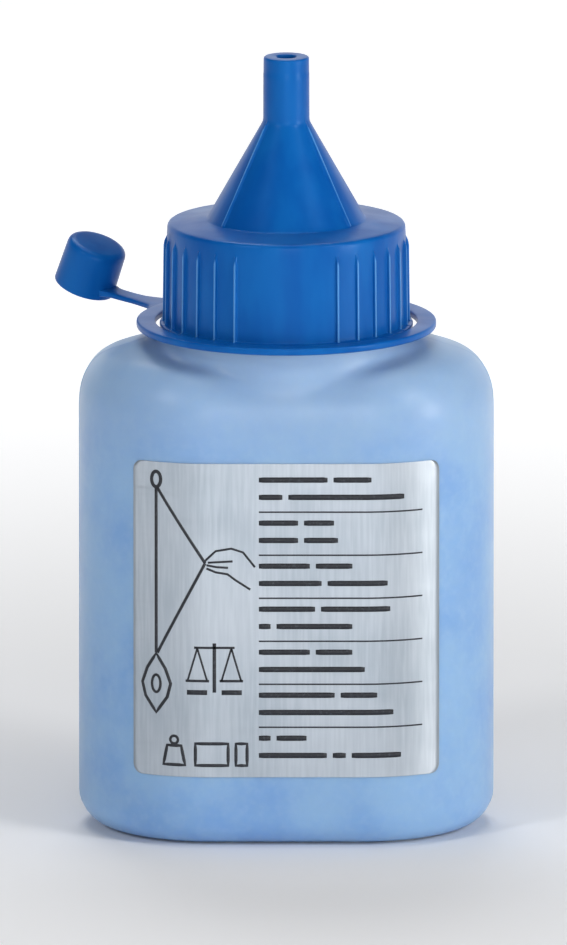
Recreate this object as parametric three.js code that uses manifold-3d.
// A chalk powder refill bottle: an oval bottle with a screw cap that ends in a filling nozzle, and a
// loose tether loop that carries the nozzle's tip cap.
// Millimetres, +Z up, -Y is the labelled front. The origin is the centre of the bottle's flat base.
// Each piece is a closed solid of its own, with a gap to its neighbours.

import * as THREE from 'three';
import { mergeVertices } from 'three/addons/utils/BufferGeometryUtils.js';
import Module from 'manifold-3d';

const wasm = await Module();
wasm.setup();

// ---------- driving dimensions ----------

const SEGMENTS = 48;                   // sides of a round piece
const END_STEPS = 20;                  // facets in each round end of the oval plan
const FILLET_STEPS = 4;                // facets of the base's fillet and of the label's corners
const SHOULDER_STEPS = 6;
const EDGE_STEPS = 3;                  // facets of the rounded edges of the cap and the tip cap
const GAP = 0.3;                       // clearance between neighbouring pieces
const MERGE_WITHIN = 1e-5;             // corners closer than this are one corner

const BODY_WIDTH = 63.3;
const BODY_DEPTH = 40;
const END_RADIUS = BODY_DEPTH / 2;
const END_CENTRE = BODY_WIDTH / 2 - END_RADIUS;
const WALL = 1;
const FLOOR = 1.2;
const BASE_FILLET = 5;
const SHOULDER_START = 66;             // height where the straight wall ends
const SHOULDER_IN = 5.6;               // half-axes of the shoulder's elliptic rounding
const SHOULDER_UP = 8;
const ROOF_SLOPE = 18;                 // degrees, from the shoulder's rounding up to the collar
const ROOF_END_INSET = 12.9;

const COLLAR_RADIUS = 19;
const COLLAR_TOP = 77.1;
const COLLAR_FOOT = 69;
const NECK_ROOT = 15.4;
const NECK_BORE = 13.6;
const NECK_LIP = 91;

const PITCH = 4;
const THREAD_TURNS = 1.5;
const THREAD_CREST = 16.5;
const THREAD_START = 81.4;
const THREAD_ROOT_HALF = 1;
const THREAD_CREST_HALF = 0.6;
const THREAD_EMBED = 0.3;
const THREAD_STEPS = 24;               // facets in one turn
const THREAD_END_FULLNESS = 0.35;      // how full the ridge still is where it stops

const SKIRT_FOOT = 77.4;
const SKIRT_BORE = 17;
const SKIRT_RADIUS = 18.4;
const BEAD_RADIUS = 19.4;
const BEAD_HEIGHT = 0.9;
const CAP_THREAD_CREST = 15.9;
const DECK_UNDERSIDE = 92.4;
const DECK_EDGE_TOP = 93.6;
const DECK_EDGE_ROUND = 0.9;
const CONE_FOOT_RADIUS = 12.15;
const CONE_FOOT = 94.3;
const CONE_WALL = 1.2;
const NOZZLE_RADIUS = 3.5;
const NOZZLE_FOOT = 109.5;
const NOZZLE_BORE = 1.5;
const NOZZLE_TIP = 119.5;
const NOZZLE_CHAMFER = 0.3;

const GRIP_RIBS_A_SIDE = 13;
const GRIP_FIRST = 25;                 // degrees from the front, and from the rear
const GRIP_WIDTH = 0.5;
const GRIP_TOP = 90.8;
const GRIP_CREST_TOP = 18.75;
const GRIP_CREST_FOOT = 19;
const CONE_RIB_ANGLE = 53;
const CONE_RIB_WIDTH = 0.5;
const CONE_RIB_HEIGHT = 0.35;

const SEAL_BORE = NECK_BORE;
const SEAL_RADIUS = 16.5;

const LOOP_BORE = 20.05;
const LOOP_RADIUS = 22.95;
const LOOP_FOOT = 77.4;
const LOOP_THICKNESS = 1.1;

const STRAP_BEARING = 143.6;           // degrees from +X, where the strap leaves the loop
const STRAP_THICKNESS = 0.8;
const STRAP_ROOT_WIDTH = 6;
const STRAP_WIDTH = 3.6;
const STRAP_FLEX = 28.6;               // radius of the line where the strap bends
const STRAP_FLEX_GAP = 0.5;
const STRAP_RISE = 1.5;                // degrees, before the flex line
const STRAP_END_RISE = 7;              // degrees, after the flex line

const TIP_RIM_AT = 38.6;               // radius and height of the tip cap's open rim centre
const TIP_RIM_HEIGHT = 79.05;
const TIP_LEAN = 21.4;                 // degrees, its closed top leaning towards the bottle
const TIP_RADIUS = 4.7;
const TIP_HEIGHT = 7.6;
const TIP_ROUND = 1;
const TIP_SOCKET = 3.6;
const TIP_SOCKET_DEPTH = 6.2;

const POWDER_TOP = 68;

const LABEL_WRAP_STEPS = 4;            // facets that the label reaches round each end
const LABEL_FOOT = 11.05;
const LABEL_TOP = 60;
const LABEL_CORNER = 1.4;
const LABEL_GAP = 0.15;
const LABEL_THICKNESS = 0.2;

const ROOF_RISE = Math.tan(THREE.MathUtils.degToRad(ROOF_SLOPE));

// ---------- solids ----------

function solidOf(geometry) {
  const bare = geometry.clone();
  bare.deleteAttribute('normal');
  bare.deleteAttribute('uv');
  const merged = mergeVertices(bare, MERGE_WITHIN);
  return new wasm.Manifold(new wasm.Mesh({
    numProp: 3,
    vertProperties: new Float32Array(merged.attributes.position.array),
    triVerts: new Uint32Array(merged.index.array),
  }));
}

function geometryOf(solid) {
  const mesh = solid.getMesh();
  const geometry = new THREE.BufferGeometry();
  geometry.setAttribute('position', new THREE.BufferAttribute(mesh.vertProperties, 3));
  geometry.setIndex(new THREE.BufferAttribute(mesh.triVerts, 1));
  geometry.computeVertexNormals();
  return geometry;
}

// A turned solid from [radius, height] points, listed anticlockwise with the axis at the left.
function turned(points) {
  const profile = points.map(([radius, height]) => new THREE.Vector2(radius, height));
  const geometry = new THREE.LatheGeometry(profile, SEGMENTS);
  geometry.rotateX(Math.PI / 2);
  return solidOf(geometry);
}

// A closed solid through rings of points, each seen anticlockwise from the end it is heading for.
function lofted(rings) {
  const count = rings[0].length;
  const points = rings.flat();
  const faces = [];
  for (let level = 0; level + 1 < rings.length; level += 1) {
    for (let i = 0; i < count; i += 1) {
      const next = (i + 1) % count;
      const a = level * count + i;
      const b = level * count + next;
      faces.push(a, b, b + count, a, b + count, a + count);
    }
  }
  const foot = points.push(middle(rings[0])) - 1;
  const top = points.push(middle(rings.at(-1))) - 1;
  const last = (rings.length - 1) * count;
  for (let i = 0; i < count; i += 1) {
    const next = (i + 1) % count;
    faces.push(foot, next, i, top, last + i, last + next);
  }
  const geometry = new THREE.BufferGeometry();
  const numbers = points.flatMap((p) => [p.x, p.y, p.z]);
  geometry.setAttribute('position', new THREE.Float32BufferAttribute(numbers, 3));
  geometry.setIndex(faces);
  return solidOf(geometry);
}

function middle(ring) {
  const sum = new THREE.Vector3();
  ring.forEach((point) => sum.add(point));
  return sum.divideScalar(ring.length);
}

// A screw ridge of trapezoid section between two radii, lower and narrower at its two ends.
function screwRidge(rootRadius, crestRadius, startHeight) {
  const steps = Math.round(THREAD_TURNS * THREAD_STEPS);
  const outward = Math.sign(crestRadius - rootRadius);
  const buried = rootRadius - outward * THREAD_EMBED;
  const sections = [];
  for (let step = 0; step <= steps; step += 1) {
    const angle = (step / THREAD_STEPS) * 2 * Math.PI;
    const height = startHeight + (step / THREAD_STEPS) * PITCH;
    const fullness = step === 0 || step === steps ? THREAD_END_FULLNESS : 1;
    const crest = rootRadius + (crestRadius - rootRadius) * fullness;
    const at = (radius, lift) => new THREE.Vector3(
      radius * Math.cos(angle), radius * Math.sin(angle), height + lift * fullness,
    );
    const section = [
      at(buried, -THREAD_ROOT_HALF),
      at(crest, -THREAD_CREST_HALF),
      at(crest, THREAD_CREST_HALF),
      at(buried, THREAD_ROOT_HALF),
    ];
    sections.push(outward > 0 ? section.reverse() : section);
  }
  return lofted(sections);
}

// A straight bar of four-cornered section from one cross-section to another.
function bar(from, to) {
  return lofted([from, to]);
}

function arc(centreX, centreY, radiusX, radiusY, fromDegrees, toDegrees, steps) {
  return Array.from({ length: steps + 1 }, (_, i) => {
    const angle = THREE.MathUtils.degToRad(fromDegrees + ((toDegrees - fromDegrees) * i) / steps);
    return [centreX + radiusX * Math.cos(angle), centreY + radiusY * Math.sin(angle)];
  });
}

// ---------- the oval plan ----------

function ovalRing(inset, height) {
  const radius = END_RADIUS - inset;
  const right = arc(END_CENTRE, 0, radius, radius, -90, 90, END_STEPS);
  const left = arc(-END_CENTRE, 0, radius, radius, 90, 270, END_STEPS);
  return [...right, ...left].map(([x, y]) => new THREE.Vector3(x, y, height));
}

// The bottle's body as [inset, height] pairs; wall is 0 outside and WALL inside.
function bodyProfile(wall, floor) {
  const fillet = BASE_FILLET - wall;
  const base = arc(wall + fillet, floor + fillet, -fillet, -fillet, 90, 0, FILLET_STEPS);
  const across = SHOULDER_IN - wall;
  const up = SHOULDER_UP - wall;
  const lastAngle = THREE.MathUtils.radToDeg(Math.atan(up / (ROOF_RISE * across)));
  const shoulder = arc(SHOULDER_IN, SHOULDER_START, -across, up, 0, lastAngle, SHOULDER_STEPS);
  const [inset, height] = shoulder.at(-1);
  const roofEnd = [ROOF_END_INSET, height + (ROOF_END_INSET - inset) * ROOF_RISE];
  return [...base, ...shoulder, roofEnd];
}

function bodySolid(wall, floor) {
  return lofted(bodyProfile(wall, floor).map(([inset, height]) => ovalRing(inset, height)));
}

// ---------- pieces ----------

// An upright round rod from inside the shoulder to a height.
function rod(radius, top) {
  return turned([[0, COLLAR_FOOT], [radius, COLLAR_FOOT], [radius, top], [0, top]]);
}

function bottle() {
  const outside = bodySolid(0, 0)
    .add(rod(COLLAR_RADIUS, COLLAR_TOP))
    .add(rod(NECK_ROOT, NECK_LIP))
    .add(screwRidge(NECK_ROOT, THREAD_CREST, THREAD_START));
  const inside = bodySolid(WALL, FLOOR)
    .add(rod(COLLAR_RADIUS - WALL, COLLAR_TOP - WALL))
    .add(rod(NECK_BORE, NECK_LIP + WALL));
  return outside.subtract(inside);
}

function chalkPowder() {
  const inset = WALL + GAP;
  const foot = FLOOR + GAP;
  const fillet = BASE_FILLET - inset;
  const base = arc(inset + fillet, foot + fillet, -fillet, -fillet, 90, 0, FILLET_STEPS);
  const top = [inset + GAP, POWDER_TOP];
  const wallTop = [inset, SHOULDER_START];
  return lofted([...base, wallTop, top].map(([depth, height]) => ovalRing(depth, height)));
}

// The label's plan: a strip over the flat front that wraps part of the way round both ends.
function labelSheet() {
  const wrap = (180 / END_STEPS) * LABEL_WRAP_STEPS;
  const inner = END_RADIUS + LABEL_GAP;
  const outer = inner + LABEL_THICKNESS;
  const front = [
    ...arc(-END_CENTRE, 0, outer, outer, -90 - wrap, -90, LABEL_WRAP_STEPS),
    ...arc(END_CENTRE, 0, outer, outer, -90, -90 + wrap, LABEL_WRAP_STEPS),
  ];
  const back = [
    ...arc(END_CENTRE, 0, inner, inner, -90 + wrap, -90, LABEL_WRAP_STEPS),
    ...arc(-END_CENTRE, 0, inner, inner, -90, -90 - wrap, LABEL_WRAP_STEPS),
  ];
  const strip = new THREE.Shape([...front, ...back].map(([x, y]) => new THREE.Vector2(x, y)));
  const geometry = new THREE.ExtrudeGeometry(strip, { depth: LABEL_TOP - LABEL_FOOT, bevelEnabled: false });
  geometry.translate(0, 0, LABEL_FOOT);
  return solidOf(geometry);
}

function frontLabel() {
  const half = BODY_WIDTH / 2;
  const sheet = labelSheet();
  const box = sheet.boundingBox();
  const outline = roundedOutline(box.min[0], LABEL_FOOT, box.max[0], LABEL_TOP, LABEL_CORNER);
  const cutter = new THREE.ExtrudeGeometry(outline, {
    depth: half, bevelEnabled: false, curveSegments: FILLET_STEPS,
  });
  cutter.rotateX(Math.PI / 2);
  return sheet.intersect(solidOf(cutter));
}

function roundedOutline(left, foot, right, top, corner) {
  const shape = new THREE.Shape();
  const quarter = Math.PI / 2;
  shape.absarc(right - corner, foot + corner, corner, -quarter, 0);
  shape.absarc(right - corner, top - corner, corner, 0, quarter);
  shape.absarc(left + corner, top - corner, corner, quarter, 2 * quarter);
  shape.absarc(left + corner, foot + corner, corner, 2 * quarter, 3 * quarter);
  return shape;
}

function capShell() {
  const slant = Math.hypot(CONE_FOOT_RADIUS - NOZZLE_RADIUS, NOZZLE_FOOT - CONE_FOOT);
  const steepness = (NOZZLE_FOOT - CONE_FOOT) / (CONE_FOOT_RADIUS - NOZZLE_RADIUS);
  const wallAcross = (CONE_WALL * slant) / (NOZZLE_FOOT - CONE_FOOT);
  const innerHeight = (radius) => CONE_FOOT + (CONE_FOOT_RADIUS - wallAcross - radius) * steepness;
  const innerFoot = CONE_FOOT_RADIUS - wallAcross + (CONE_FOOT - DECK_UNDERSIDE) / steepness;
  const bandRadius = SKIRT_RADIUS - DECK_EDGE_ROUND;
  return turned([
    [SKIRT_BORE, SKIRT_FOOT],
    [BEAD_RADIUS, SKIRT_FOOT],
    [BEAD_RADIUS, SKIRT_FOOT + BEAD_HEIGHT],
    [SKIRT_RADIUS, SKIRT_FOOT + 2 * BEAD_HEIGHT],
    ...arc(bandRadius, DECK_EDGE_TOP - DECK_EDGE_ROUND, DECK_EDGE_ROUND, DECK_EDGE_ROUND, 0, 90, EDGE_STEPS),
    [CONE_FOOT_RADIUS, CONE_FOOT],
    [NOZZLE_RADIUS, NOZZLE_FOOT],
    [NOZZLE_RADIUS, NOZZLE_TIP - NOZZLE_CHAMFER],
    [NOZZLE_RADIUS - NOZZLE_CHAMFER, NOZZLE_TIP],
    [NOZZLE_BORE, NOZZLE_TIP],
    [NOZZLE_BORE, innerHeight(NOZZLE_BORE)],
    [innerFoot, DECK_UNDERSIDE],
    [SKIRT_BORE, DECK_UNDERSIDE],
    [SKIRT_BORE, SKIRT_FOOT],
  ]);
}

// The four corners of a rib's section at one height, for a rib that stands out at +X.
function ribSection(inner, outer, width, height) {
  const half = width / 2;
  return [
    new THREE.Vector3(inner, -half, height),
    new THREE.Vector3(outer, -half, height),
    new THREE.Vector3(outer, half, height),
    new THREE.Vector3(inner, half, height),
  ];
}

function gripRib(angle) {
  const foot = SKIRT_FOOT + BEAD_HEIGHT;
  const buried = SKIRT_RADIUS - GAP;
  const rib = bar(
    ribSection(buried, GRIP_CREST_FOOT, GRIP_WIDTH, foot),
    ribSection(buried, GRIP_CREST_TOP, GRIP_WIDTH, GRIP_TOP),
  );
  return rib.rotate([0, 0, angle]);
}

function coneRib(angle) {
  const buried = (radius) => radius - GAP;
  const crest = (radius) => radius + CONE_RIB_HEIGHT;
  const rib = bar(
    ribSection(buried(CONE_FOOT_RADIUS), crest(CONE_FOOT_RADIUS), CONE_RIB_WIDTH, CONE_FOOT - GAP),
    ribSection(buried(NOZZLE_RADIUS), crest(NOZZLE_RADIUS), CONE_RIB_WIDTH, NOZZLE_FOOT - GAP),
  );
  return rib.rotate([0, 0, angle]);
}

function screwCap() {
  let cap = capShell().add(screwRidge(SKIRT_BORE, CAP_THREAD_CREST, THREAD_START - PITCH / 2));
  const spacing = (180 - 2 * GRIP_FIRST) / (GRIP_RIBS_A_SIDE - 1);
  for (const front of [-90, 90]) {
    for (let i = 0; i < GRIP_RIBS_A_SIDE; i += 1) {
      cap = cap.add(gripRib(front + GRIP_FIRST + i * spacing));
    }
    for (const side of [-CONE_RIB_ANGLE, CONE_RIB_ANGLE]) {
      cap = cap.add(coneRib(front + side));
    }
  }
  return cap;
}

function sealRing() {
  const foot = NECK_LIP + GAP;
  const top = DECK_UNDERSIDE - GAP;
  return turned([
    [SEAL_BORE, foot],
    [SEAL_RADIUS, foot],
    [SEAL_RADIUS, top],
    [SEAL_BORE, top],
    [SEAL_BORE, foot],
  ]);
}

function tetherRing() {
  const top = LOOP_FOOT + LOOP_THICKNESS;
  return turned([
    [LOOP_BORE, LOOP_FOOT],
    [LOOP_RADIUS, LOOP_FOOT],
    [LOOP_RADIUS, top],
    [LOOP_BORE, top],
    [LOOP_BORE, LOOP_FOOT],
  ]);
}

// The strap is drawn in the X-Z plane, leaving the loop at +X, and turned to its bearing at the end.
function strapSection(radius, height, width) {
  const half = width / 2;
  const flat = STRAP_THICKNESS / 2;
  return [
    new THREE.Vector3(radius, -half, height - flat),
    new THREE.Vector3(radius, half, height - flat),
    new THREE.Vector3(radius, half, height + flat),
    new THREE.Vector3(radius, -half, height + flat),
  ];
}

function strapHeight(radius) {
  const rise = radius < STRAP_FLEX ? STRAP_RISE : STRAP_END_RISE;
  const flexHeight = LOOP_FOOT + LOOP_THICKNESS / 2
    + (STRAP_FLEX - LOOP_RADIUS) * Math.tan(THREE.MathUtils.degToRad(STRAP_RISE));
  return flexHeight + (radius - STRAP_FLEX) * Math.tan(THREE.MathUtils.degToRad(rise));
}

function tetherStrap() {
  const start = LOOP_RADIUS + GAP;
  const waist = (start + STRAP_FLEX) / 2;
  const end = STRAP_FLEX - STRAP_FLEX_GAP / 2;
  return lofted([
    strapSection(start, strapHeight(start), STRAP_ROOT_WIDTH),
    strapSection(waist, strapHeight(waist), STRAP_WIDTH),
    strapSection(end, strapHeight(end), STRAP_WIDTH),
  ]).rotate([0, 0, STRAP_BEARING]);
}

function tipCap() {
  const side = TIP_RADIUS - TIP_ROUND;
  const shell = turned([
    [TIP_SOCKET, 0],
    [TIP_RADIUS, 0],
    ...arc(side, TIP_HEIGHT - TIP_ROUND, TIP_ROUND, TIP_ROUND, 0, 90, EDGE_STEPS),
    [0, TIP_HEIGHT],
    [0, TIP_SOCKET_DEPTH],
    [TIP_SOCKET, TIP_SOCKET_DEPTH],
    [TIP_SOCKET, 0],
  ]);
  const placed = shell.rotate([0, -TIP_LEAN, 0]).translate([TIP_RIM_AT, 0, TIP_RIM_HEIGHT]);
  const start = STRAP_FLEX + STRAP_FLEX_GAP / 2;
  const end = TIP_RIM_AT - TIP_RADIUS;
  const strap = bar(
    strapSection(start, strapHeight(start), STRAP_WIDTH),
    strapSection(end, strapHeight(end), STRAP_WIDTH),
  );
  return placed.add(strap).rotate([0, 0, STRAP_BEARING]);
}

// ---------- the assembly ----------

function plastic(colour, roughness) {
  return new THREE.MeshStandardMaterial({ color: colour, roughness, metalness: 0 });
}

function piece(name, solid, material) {
  const mesh = new THREE.Mesh(geometryOf(solid), material);
  mesh.name = name;
  return mesh;
}

const assembly = new THREE.Group();
assembly.add(
  piece('bottle', bottle(), plastic(0x8fb2dc, 0.4)),
  piece('chalk_powder', chalkPowder(), plastic(0x4f86d9, 0.9)),
  piece('front_label', frontLabel(), new THREE.MeshStandardMaterial({
    color: 0xc3ccd6, roughness: 0.35, metalness: 0.6,
  })),
  piece('seal_ring', sealRing(), plastic(0xf0f0ea, 0.7)),
  piece('screw_cap', screwCap(), plastic(0x1257a8, 0.35)),
  piece('tether_ring', tetherRing(), plastic(0x1257a8, 0.35)),
  piece('tether_strap', tetherStrap(), plastic(0x1257a8, 0.35)),
  piece('tip_cap', tipCap(), plastic(0x1257a8, 0.35)),
);

export default assembly;
